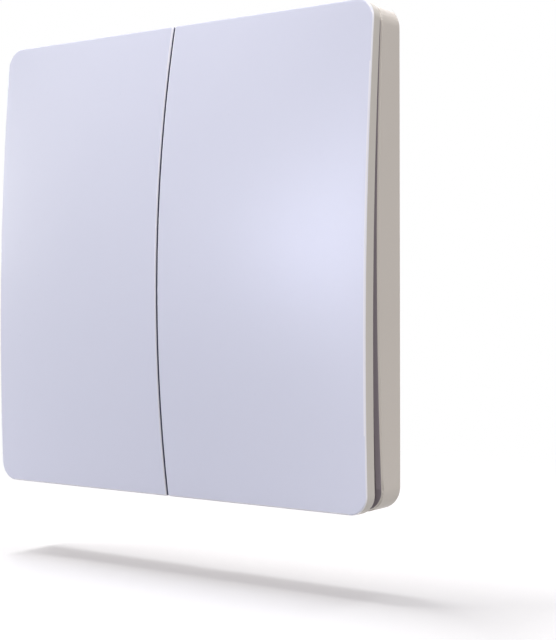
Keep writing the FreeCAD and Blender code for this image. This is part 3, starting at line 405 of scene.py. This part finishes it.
# The walls on both sides of the split are seen only down a narrow slot, and a dark bluish copy of the resin
# paints the shade in it.
slot_shade = finish_plastic("painted_slot_shade", "#6C6D8A", "#666784", 20 * MM, 0.5, 0.3 * MM, 0.003 * MM, 1.58)
SATIN, SHADED_SIDE, EDGE, SLOT_SHADE = range(4)
for key in (key_right, key_left):
    for material in (satin, bare, edge, slot_shade):
        key.data.materials.append(material)
    for face in key.data.polygons:
        x, z = face.center.x, face.center.z
        in_front = -face.center.y > key_depth(x, z) - 0.8 * MM
        if face.normal.y < -0.95 and in_front:
            face.material_index = SATIN
        elif face.normal.y < -0.2 and in_front:
            # The bevel at the face's sides and foot takes the painted highlight.
            face.material_index = EDGE if face.normal.z < 0.3 else SATIN
        else:
            # The walls beside the split take the painted shade of the slot.
            beside_split = abs(x) < 0.6 * MM and abs(face.normal.x) > 0.7
            # All other faces take the darker side colour, which is painted shade.
            face.material_index = SLOT_SHADE if beside_split else SHADED_SIDE
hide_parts("rocker_right")
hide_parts("rocker_left")
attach(key_right, "rocker_right")
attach(key_left, "rocker_left")

# Housing
# A shallow tray of warm white ABS with a raised island over the circuit board, moulded in one piece with
# the ears that hold the keys' pins. Its tool was spark-eroded, which gives an even matt skin.
housing_resin = finish_plastic("eroded_abs", "#CFC7BF", "#CBC3BB", 25 * MM, 0.5, 0.3 * MM, 0.004 * MM, 1.53)


def dress_solid(name, node, material, edge, body="root"):
    """A copy of a solid with joined faces and softly broken edges, to stand in its place."""
    bpy.ops.object.select_all(action="DESELECT")
    frame["nodes"][node].select_set(True)
    bpy.context.view_layer.objects.active = frame["nodes"][node]
    bpy.ops.object.duplicate()
    piece = bpy.context.object
    piece.name = piece.data.name = name
    bpy.ops.object.mode_set(mode="EDIT")
    bpy.ops.mesh.select_all(action="SELECT")
    bpy.ops.mesh.remove_doubles(threshold=0.002 * MM)
    bpy.ops.mesh.dissolve_limited(angle_limit=math.radians(0.5))
    bpy.ops.object.mode_set(mode="OBJECT")
    if edge:
        broken = {"width": edge, "segments": 2, "limit_method": "ANGLE", "angle_limit": math.radians(30)}
        apply_modifier(piece, "BEVEL", **broken)
    smooth(35)
    apply_modifier(piece, "WEIGHTED_NORMAL", keep_sharp=True, weight=80)
    piece.data.materials.clear()
    piece.data.materials.append(material)
    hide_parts(node)
    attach(piece, body)
    return piece


tray = dress_solid("housing_tray", "housing", housing_resin, 0)
# A mauve grey band along the deck's edge is painted shade, so that the gap under the keys reads as one dark
# line.
deck_shade = finish_plastic("painted_deck_shade", "#978D94", "#8F858C", 25 * MM, 0.6, 0.3 * MM, 0.004 * MM, 1.5)
tray.data.materials.append(deck_shade)


def from_rounding(v):
    """How far a vertex is from the square through the middles of the outline's rounded corners."""
    return math.hypot(max(abs(v.co.x) - ROUNDING, 0), max(abs(v.co.z) - ROUNDING, 0))


# The skirt's rear edge is drawn down towards the wall, and its front rim slopes back outside the deck.
ROUNDING = HALF - 4 * MM
SKIRT_REAR, SKIRT_DROP = 0.55 * MM, 0.12 * MM
RIM_INNER, RIM_FRONT, RIM_DROP = 41.9 * MM, 5.7 * MM, 0.4 * MM
DECK_INNER, DECK_FRONT = 37 * MM, 5.3 * MM
bpy.ops.object.mode_set(mode="EDIT")
choose("VERT", lambda v: v.co.y > -SKIRT_REAR)
shift(y=SKIRT_DROP)
for axis in (0, 2):
    slice_up(axis, (-RIM_INNER, -DECK_INNER, DECK_INNER, RIM_INNER))
choose("VERT", lambda v: v.co.y < -RIM_FRONT and from_rounding(v) > 3.3 * MM)
shift(y=RIM_DROP)
bpy.ops.object.mode_set(mode="OBJECT")
# The deck's crown is so slight that its broad strips look smoother flat than with blended normals.
smooth(20)
for face in tray.data.polygons:
    if abs(face.normal.y) > 0.8:
        face.use_smooth = False
        outside = max(abs(face.center.x), abs(face.center.z)) > DECK_INNER and face.center.y < -DECK_FRONT
        # Front faces outside the deck's inner square take the painted shade.
        face.material_index = 1 if outside and face.normal.y < 0 else 0
apply_modifier(tray, "WEIGHTED_NORMAL", keep_sharp=True, weight=80)

# Wall plate
# The flat ABS plate that is screwed or stuck to the wall. The housing snaps over its tongues.
dress_solid("screw_plate", "wall_plate", housing_resin, 0)

# Key dampers
# Four blocks of soft grey silicone, cast with rounded edges and pressed into pockets of the deck. Silicone
# has a dull, greasy sheen.
DAMPER_XS = (-30 * MM, -14 * MM, 14 * MM, 30 * MM)
DAMPER_HALF, DAMPER_FRONT, DAMPER_REAR = 2.3 * MM, 7.52 * MM, 6.62 * MM
silicone = finish_plastic("cast_silicone", "#4A4A4C", "#404042", 2 * MM, 0.42, 0.25 * MM, 0.003 * MM, 1.41)


def copied(piece, x=0.0, y=0.0, z=0.0):
    """A copy of a finished piece with its own mesh, moved over."""
    bpy.ops.object.select_all(action="DESELECT")
    piece.select_set(True)
    bpy.context.view_layer.objects.active = piece
    bpy.ops.object.duplicate()
    bpy.ops.object.mode_set(mode="EDIT")
    bpy.ops.mesh.select_all(action="SELECT")
    shift(x, y, z)
    return finish_shape()


low = (DAMPER_XS[0] - DAMPER_HALF, -DAMPER_FRONT, DAMPER_Z - DAMPER_HALF)
dampers = box("dampers", low, (DAMPER_XS[0] + DAMPER_HALF, -DAMPER_REAR, DAMPER_Z + DAMPER_HALF))
soften(0.25 * MM, 3)
finish_shape()
join([copied(dampers, x=x - DAMPER_XS[0]) for x in DAMPER_XS[1:]], dampers)
smooth(35)
dampers.data.materials.append(silicone)
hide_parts("key_dampers")
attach(dampers, "root")


# Circuit board
# Glass-fibre laminate under green solder mask. Where copper tracks run below the mask, it is lighter and
# stands up a little; the cut edges show the pale laminate.
def lines_along(tree, place, axis, pitch, share):
    """Straight stripes at a pitch: 1 on a share of it, 0 between."""
    apart = add(tree, "SeparateXYZ", {0: place})
    steps = add(tree, "Math", {0: apart.outputs[axis], 1: 1 / pitch}, operation="MULTIPLY")
    phase = add(tree, "Math", {0: steps.outputs[0]}, operation="FRACT")
    return add(tree, "Math", {0: phase.outputs[0], 1: share}, operation="LESS_THAN").outputs[0]


def finish_board(name, mask, track, laminate, pitch):
    """Solder mask over tracks that run one way in some patches and the other way in the rest."""
    material, tree, place = new_material(name)
    upright = lines_along(tree, place, "X", pitch, 0.35)
    level = lines_along(tree, place, "Z", pitch, 0.35)
    patches = {"Vector": place, "Scale": 1 / (pitch * 9), "Randomness": 0.3}
    patches = add(tree, "TexVoronoi", patches, distance="MANHATTAN")
    apart = add(tree, "SeparateColor", {0: patches.outputs["Color"]})
    turned = add(tree, "Math", {0: apart.outputs[0], 1: 0.5}, operation="GREATER_THAN")
    bare = add(tree, "Math", {0: apart.outputs[1], 1: 0.35}, operation="GREATER_THAN")
    runs = add(tree, "Mix", {0: turned.outputs[0], 2: upright, 3: level}, data_type="FLOAT")
    runs = add(tree, "Math", {0: runs.outputs[0], 1: bare.outputs[0]}, operation="MULTIPLY")
    tone = {0: runs.outputs[0], 6: colour(mask), 7: colour(track)}
    tone = add(tree, "Mix", tone, data_type="RGBA")
    geometry = add(tree, "NewGeometry", {})
    facing = add(tree, "SeparateXYZ", {0: geometry.outputs["Normal"]})
    flat = add(tree, "Math", {0: facing.outputs["Y"]}, operation="ABSOLUTE")
    cut = add(tree, "Math", {0: flat.outputs[0], 1: 0.5}, operation="LESS_THAN")
    tone = {0: cut.outputs[0], 6: tone.outputs[2], 7: colour(laminate)}
    tone = add(tree, "Mix", tone, data_type="RGBA")
    dull = add(tree, "MapRange", {"Value": cut.outputs[0], "To Min": 0.28, "To Max": 0.7})
    bump = add(tree, "Bump", {"Height": runs.outputs[0], "Strength": 0.6, "Distance": 0.02 * MM})
    inputs = {"Base Color": tone.outputs[2], "Roughness": dull.outputs[0], "IOR": 1.52}
    surface = add(tree, "BsdfPrincipled", {**inputs, "Normal": bump.outputs[0]})
    add(tree, "OutputMaterial", {"Surface": surface.outputs[0]})
    return material


green_mask = finish_board("green_solder_mask", "#12502B", "#1C6B3C", "#B9B37E", 0.9 * MM)
dress_solid("main_board", "circuit_board", green_mask, 0.06 * MM)


# Board screws
# Four small pan-head screws with a cross recess, driven into bosses of the housing from behind. Their zinc
# plate is bluish and a little cloudy.
def finish_metal(name, light, dark, cloud, rough, spread):
    """Bare or plated metal: its shade and its polish both vary in soft patches."""
    material, tree, place = new_material(name)
    clouds = add(tree, "TexNoise", {"Vector": place, "Scale": 1 / cloud, "Detail": 4.0})
    shade = add(tree, "Mix", {0: clouds.outputs["Fac"], 6: colour(dark), 7: colour(light)}, data_type="RGBA")
    span = {"Value": clouds.outputs["Fac"], "From Min": 0.3, "From Max": 0.7}
    span = {**span, "To Min": rough - spread, "To Max": rough + spread}
    polish = add(tree, "MapRange", span)
    inputs = {"Base Color": shade.outputs[2], "Roughness": polish.outputs[0], "Metallic": 1.0}
    surface = add(tree, "BsdfPrincipled", inputs)
    add(tree, "OutputMaterial", {"Surface": surface.outputs[0]})
    return material


zinc = finish_metal("zinc_plate", "#B4B8BE", "#9A9EA5", 1.2 * MM, 0.32, 0.08)
SCREW_X, SCREW_Z = -20.5 * MM, -19.5 * MM
SHANK_ROOT, SHANK_TIP, SHANK_RADIUS = 5.6 * MM, 8.2 * MM, 0.79 * MM
FIRST_GROOVE, THREAD_PITCH = 8.1 * MM, 0.4 * MM
HEAD_REAR, HEAD_FRONT, HEAD_RADIUS, HEAD_ROUND = 4.9 * MM, 5.7 * MM, 1.5 * MM, 0.45 * MM
RECESS_REACH, RECESS_HALF, RECESS_FLOOR = 0.9 * MM, 0.2 * MM, 5.35 * MM
start, end = (SCREW_X, -SHANK_ROOT, SCREW_Z), (SCREW_X, -SHANK_TIP, SCREW_Z)
shank = rod("shank", start, end, SHANK_RADIUS, 20)
slice_up(1, [-FIRST_GROOVE + THREAD_PITCH / 2 * i for i in range(12)])
for y in [-FIRST_GROOVE + THREAD_PITCH * i for i in range(6)]:
    choose("VERT", lambda v: near(v.co.y, y))
    bpy.ops.transform.resize(value=(0.8, 1, 0.8), center_override=(SCREW_X, y, SCREW_Z))
finish_shape()
start, end = (SCREW_X, -HEAD_REAR, SCREW_Z), (SCREW_X, -HEAD_FRONT, SCREW_Z)
screw = rod("pan_head_screws", start, end, HEAD_RADIUS, 32)
choose("EDGE", lambda e: all(near(v.co.y, -HEAD_REAR) for v in e.verts))
bpy.ops.mesh.bevel(offset=HEAD_ROUND, segments=5, affect="EDGES")
finish_shape()
for wide, high in ((RECESS_REACH, RECESS_HALF), (RECESS_HALF, RECESS_REACH)):
    low = (SCREW_X - wide, -RECESS_FLOOR, SCREW_Z - high)
    recess = box("recess", low, (SCREW_X + wide, -4.5 * MM, SCREW_Z + high))
    finish_shape()
    apply_modifier(screw, "BOOLEAN", object=recess, operation="DIFFERENCE", solver="EXACT")
    bpy.data.objects.remove(recess)
join([shank], screw)
across, up = -2 * SCREW_X, -2 * SCREW_Z
join([copied(screw, x=across), copied(screw, z=up), copied(screw, x=across, z=up)], screw)
smooth(35)
screw.data.materials.append(zinc)
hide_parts("board_screws")
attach(screw, "root")

# Coin cell
# A lithium cell in a can of nickel-plated steel with rolled edges. Its negative cap faces the board. The
# nickel is warmer than zinc and takes a better polish.
nickel = finish_metal("nickel_plate", "#D2D0CB", "#C2C0BB", 6 * MM, 0.26, 0.06)
dress_solid("cell", "coin_cell", nickel, 0.3 * MM)

# Battery holder
# A ring of black nylon moulded with a notch for the positive contact, and soldered down with the contacts.
# The nylon is dull, and never quite black.
black_nylon = finish_plastic("black_nylon", "#1B1B1D", "#161618", 5 * MM, 0.45, 0.2 * MM, 0.003 * MM, 1.53)
dress_solid("cell_ring", "battery_holder", black_nylon, 0.15 * MM)

# Battery contacts
# Two stamped strips of phosphor bronze, bent so that they spring against the cell. The tin on them is so
# thin that the bronze still gives them a warm tone.
bronze = finish_metal("plated_bronze", "#D9C191", "#C6AD7D", 1.5 * MM, 0.3, 0.07)
dress_solid("cell_spring", "battery_contact_negative", bronze, 0)
dress_solid("cell_side_spring", "battery_contact_positive", bronze, 0)

# Radio module
# A small board under blue mask, soldered down by its notches, with a can of bright tinned sheet over its
# dull epoxy chip.
blue_mask = finish_board("blue_solder_mask", "#112C55", "#1C3F70", "#B9B37E", 0.7 * MM)
tinned = finish_metal("tinned_steel", "#CFD0D1", "#BABCBE", 3 * MM, 0.28, 0.07)
dress_solid("module_board", "radio_board", blue_mask, 0.04 * MM)
dress_solid("module_can", "radio_shield", tinned, 0.08 * MM)
chip_resin = finish_plastic("chip_epoxy", "#222224", "#1C1C1E", 3 * MM, 0.55, 0.12 * MM, 0.004 * MM, 1.55)
dress_solid("module_chip", "radio_chip", chip_resin, 0.08 * MM)

# Chip capacitors
# Four blocks of brown sintered ceramic between the two switches. Their ends are dipped in solder.
ceramic, tree, place = new_material("sintered_ceramic")
apart = add(tree, "SeparateXYZ", {0: place})
reach = add(tree, "Math", {0: apart.outputs["Z"], 1: POST_Z}, operation="SUBTRACT")
reach = add(tree, "Math", {0: reach.outputs[0]}, operation="ABSOLUTE")
dipped = add(tree, "Math", {0: reach.outputs[0], 1: 0.5 * MM}, operation="GREATER_THAN")
grit = add(tree, "TexNoise", {"Vector": place, "Scale": 1 / (0.3 * MM), "Detail": 3.0})
body = {0: grit.outputs["Fac"], 6: colour("#7C5B3F"), 7: colour("#93704F")}
body = add(tree, "Mix", body, data_type="RGBA")
tone = {0: dipped.outputs[0], 6: body.outputs[2], 7: colour("#C6C7C8")}
tone = add(tree, "Mix", tone, data_type="RGBA")
dull = add(tree, "MapRange", {"Value": dipped.outputs[0], "To Min": 0.6, "To Max": 0.3})
inputs = {"Base Color": tone.outputs[2], "Metallic": dipped.outputs[0], "Roughness": dull.outputs[0]}
surface = add(tree, "BsdfPrincipled", inputs)
add(tree, "OutputMaterial", {"Surface": surface.outputs[0]})
dress_solid("capacitors", "small_components", ceramic, 0.08 * MM)

# Status light
# A surface-mounted LED under a hole in the island: clear epoxy on a white base. It is off.
epoxy = finish_plastic("clear_epoxy", "#EFEBCB", "#E6E1B8", 0.8 * MM, 0.12, 0.2 * MM, 0.001 * MM, 1.53)
dress_solid("led", "status_led", epoxy, 0.06 * MM)

# Tactile switches
# Two square snap switches: black moulded bases whose corner pegs are melted down over tinned covers, a
# flanged button, a snap dome of spring steel in the well, and four leads soldered to the board.
dress_solid("switch_leads", "tact_terminals", tinned, 0)
PEG_REACH, PEG_FOOT, PEG_HEIGHT = 2.4 * MM, 8.2 * MM, 0.45 * MM
for side, x in (("left", -POST_X), ("right", POST_X)):
    base = dress_solid(f"switch_{side}_base", f"tact_{side}_base", black_nylon, 0.06 * MM)
    foot = Vector((x - PEG_REACH, -PEG_FOOT, POST_Z - PEG_REACH))
    peg = rod("peg", foot, foot - Vector((0, PEG_HEIGHT, 0)), 0.42 * MM, 16)
    choose("EDGE", lambda e: all(near(v.co.y, -PEG_FOOT - PEG_HEIGHT) for v in e.verts))
    bpy.ops.mesh.bevel(offset=0.12 * MM, segments=3, affect="EDGES")
    finish_shape()
    peg.data.materials.append(black_nylon)
    apart = 2 * PEG_REACH
    join([peg, copied(peg, x=apart), copied(peg, z=apart), copied(peg, x=apart, z=apart)], base)
    smooth(35)
    dress_solid(f"switch_{side}_cover", f"tact_{side}_cover", tinned, 0.05 * MM)
    body, button = f"plunger_{side}", f"tact_{side}_plunger"
    dress_solid(f"switch_{side}_button", button, black_nylon, 0.08 * MM, body)
    # The dome gets a mesh of its own; in the real switch the button presses it flat by half a millimetre.
    dome = dress_solid(f"switch_{side}_dome", f"tact_{side}_dome", bronze, 0)
    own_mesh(dome)

# Foam pad
# Double-sided tape with a core of white closed-cell foam, die-cut with rounded corners. Its skin is matt and
# finely pitted.
foam, tree, place = new_material("closed_cell_foam")
cells = add(tree, "TexVoronoi", {"Vector": place, "Scale": 1 / (0.35 * MM)})
clouds = add(tree, "TexNoise", {"Vector": place, "Scale": 1 / (8 * MM), "Detail": 3.0})
shade = {0: clouds.outputs["Fac"], 6: colour("#DDDCD8"), 7: colour("#E8E7E3")}
shade = add(tree, "Mix", shade, data_type="RGBA")
bump = add(tree, "Bump", {"Height": cells.outputs["Distance"], "Strength": 0.5, "Distance": 0.03 * MM})
inputs = {"Base Color": shade.outputs[2], "Roughness": 0.85, "IOR": 1.45, "Normal": bump.outputs[0]}
surface = add(tree, "BsdfPrincipled", inputs)
add(tree, "OutputMaterial", {"Surface": surface.outputs[0]})
dress_solid("foam_tape", "adhesive_pad", foam, 0.12 * MM)

# Floor and light
# A white paper sweep under the floating switch, which only shows its soft shadow. Two lamps above light the
# sweep alone, and the others the switch alone: the one below stands for what the sweep throws back at it.
bpy.ops.mesh.primitive_plane_add(size=4, location=(0, 0, -57.35 * MM))
floor = bpy.context.object
floor.name = "floor"


def seen_rays(tree):
    """1 for the rays that reach the eye, also by a reflection or through glass, and 0 for the rest."""
    rays = add(tree, "LightPath", {})
    camera_ray, glossy_ray = rays.outputs["Is Camera Ray"], rays.outputs["Is Glossy Ray"]
    seen = add(tree, "Math", {0: camera_ray, 1: glossy_ray}, operation="MAXIMUM")
    clear_ray = rays.outputs["Is Transmission Ray"]
    return add(tree, "Math", {0: seen.outputs[0], 1: clear_ray}, operation="MAXIMUM").outputs[0]


# The paper shows as white as the backdrop, but throws back less light than it shows.
FADE_START, FADE_END = 75 * MM, 200 * MM
white, tree, place = new_material("white_sweep")
seen = seen_rays(tree)
paper = {0: seen, 6: colour("#B8B8B8"), 7: colour("#E6E6E6")}
paper = add(tree, "Mix", paper, data_type="RGBA")
paper = add(tree, "BsdfDiffuse", {"Color": paper.outputs[2]})
lift = add(tree, "Math", {0: seen, 1: 0.3}, operation="MULTIPLY")
glow = add(tree, "Emission", {"Color": colour("#FFF9FF"), "Strength": lift.outputs[0]})
lit_paper = add(tree, "AddShader", {0: paper.outputs[0], 1: glow.outputs[0]})
plain = add(tree, "Emission", {"Strength": seen})
reach = add(tree, "VectorMath", {0: place}, operation="LENGTH")
fade = {"Value": reach.outputs["Value"], "From Min": FADE_START, "From Max": FADE_END}
fade = add(tree, "MapRange", fade, interpolation_type="SMOOTHSTEP")
both = add(tree, "MixShader", {0: fade.outputs["Result"], 1: lit_paper.outputs[0], 2: plain.outputs[0]})
add(tree, "OutputMaterial", {"Surface": both.outputs[0]})
floor.data.materials.append(white)

world = bpy.data.worlds.new("studio")
bpy.context.scene.world = world
world.use_nodes = True
tree = world.node_tree
tree.nodes.clear()
fill = add(tree, "Background", {"Color": (1, 1, 1, 1), "Strength": 0.385})
backdrop = add(tree, "Background", {"Color": (1, 1, 1, 1), "Strength": 1.0})
mixed = add(tree, "MixShader", {0: seen_rays(tree), 1: fill.outputs[0], 2: backdrop.outputs[0]})
add(tree, "OutputWorld", {"Surface": mixed.outputs[0]})
lit_floor = bpy.data.collections.new("lit_floor")
lit_floor.objects.link(floor)
lit_pieces = bpy.data.collections.new("lit_pieces")
for piece in bpy.context.scene.objects:
    if piece.type == "MESH" and piece is not floor:
        lit_pieces.objects.link(piece)


def softbox(name, place, size, power, tint, receivers, width=None):
    """A lamp turned to face the switch, which alone stops its light. It is square unless it has a width."""
    bpy.ops.object.light_add(type="AREA", location=place)
    lamp = bpy.context.object
    lamp.name = name
    lamp.rotation_euler = (-Vector(place)).to_track_quat("-Z", "Y").to_euler()
    lamp.data.shape = "RECTANGLE"
    lamp.data.size, lamp.data.size_y = width or size, size
    lamp.data.energy = power
    lamp.data.color = colour(tint)[:3]
    lamp.light_linking.receiver_collection = receivers
    lamp.light_linking.blocker_collection = lit_pieces


softbox("front_lamp", (0.1, -0.6, 1.0), 0.2, 6.6, "#FFFFFF", lit_pieces)
softbox("sheen_lamp", (-0.39, -1.0, 0.11), 0.12, 0.75, "#D4DAFF", lit_pieces)
softbox("glow_lamp", (-0.37, -1.0, 0.15), 0.3, 1.2, "#EAECFF", lit_pieces)
softbox("left_lamp", (-1.0, -0.25, 0.3), 0.5, 3.9, "#FFFFFB", lit_pieces)
softbox("right_lamp", (0.7, -0.1, 0.7), 0.5, 5.5, "#FFFDFE", lit_pieces)
softbox("back_lamp", (-0.25, 0.9, 0.3), 0.5, 6, "#F9F8FF", lit_pieces)
softbox("bounce_lamp", (0.0, 0.3, -1.0), 0.5, 3.5, "#FFFDFB", lit_pieces)
softbox("top_lamp", (-0.24, -0.01, 0.87), 0.12, 4.7, "#FFFFFF", lit_floor, 0.36)
softbox("halo_lamp", (0.1, 0.2, 0.95), 0.3, 1.0, "#FFFFFF", lit_floor)

bpy.context.scene.view_settings.view_transform = "Standard"
